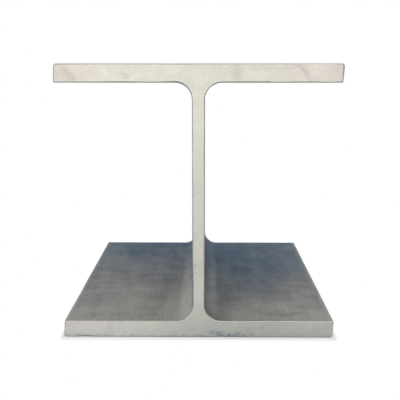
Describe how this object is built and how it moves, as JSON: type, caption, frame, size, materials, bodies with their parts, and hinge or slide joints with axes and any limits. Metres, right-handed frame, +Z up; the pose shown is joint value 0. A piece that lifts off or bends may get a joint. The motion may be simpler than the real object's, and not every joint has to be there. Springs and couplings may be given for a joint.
{
  "type": "h-beam",
  "caption": "Short sawn length of wide-flange titanium H-beam: parallel flanges joined by a central web through filleted roots.",
  "frame": {"origin": "middle of the underside of the lower flange, halfway along the beam", "axes": "+X across the flanges, +Y along the beam, +Z up from the lower flange to the upper one"},
  "size_m": [0.2006, 0.21, 0.2],
  "materials": {
    "titanium": "mill-finished faces, milled ends"
  },
  "bodies": {
    "root": {"h_beam": "titanium"}
  },
  "joints": []
}
